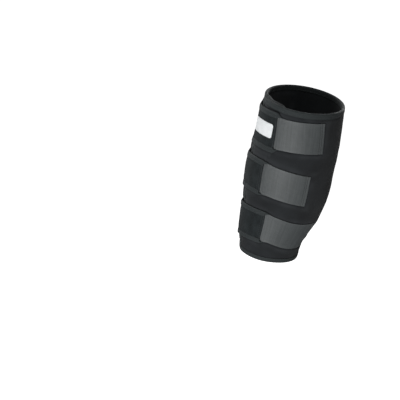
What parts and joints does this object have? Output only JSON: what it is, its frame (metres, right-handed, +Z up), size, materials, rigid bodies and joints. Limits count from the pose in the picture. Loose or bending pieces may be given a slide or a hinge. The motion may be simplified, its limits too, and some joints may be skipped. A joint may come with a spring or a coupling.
{
  "type": "calf support",
  "caption": "Padded neoprene calf support in its worn shape: a tapered open wrap with bound edges, closed over the shin by grey elastic straps with bound pull tabs and a blank white label.",
  "frame": {"origin": "on the axis of the leg that wears it, halfway between the wrap's two rims", "axes": "+Z up the leg towards the knee, -Y to the front of the shin, +X to the side that carries the elastic straps"},
  "size_m": [0.1144, 0.1235, 0.2414],
  "materials": {
    "neoprene": "matte black nylon knit over foam rubber",
    "binding": "charcoal folded tape with a slight sheen",
    "elastic": "mid grey ribbed elastic webbing",
    "loop_pile": "black brushed loop fabric",
    "label": "white woven satin, left blank"
  },
  "bodies": {
    "root": {"wrap": "neoprene", "edge_binding": "binding", "strap_low": "elastic", "tab_low": "loop_pile", "tab_low_binding": "binding", "strap_middle": "elastic", "tab_middle": "loop_pile", "tab_middle_binding": "binding", "strap_top": "elastic", "tab_top": "loop_pile", "tab_top_binding": "binding", "label": "label"}
  },
  "joints": []
}
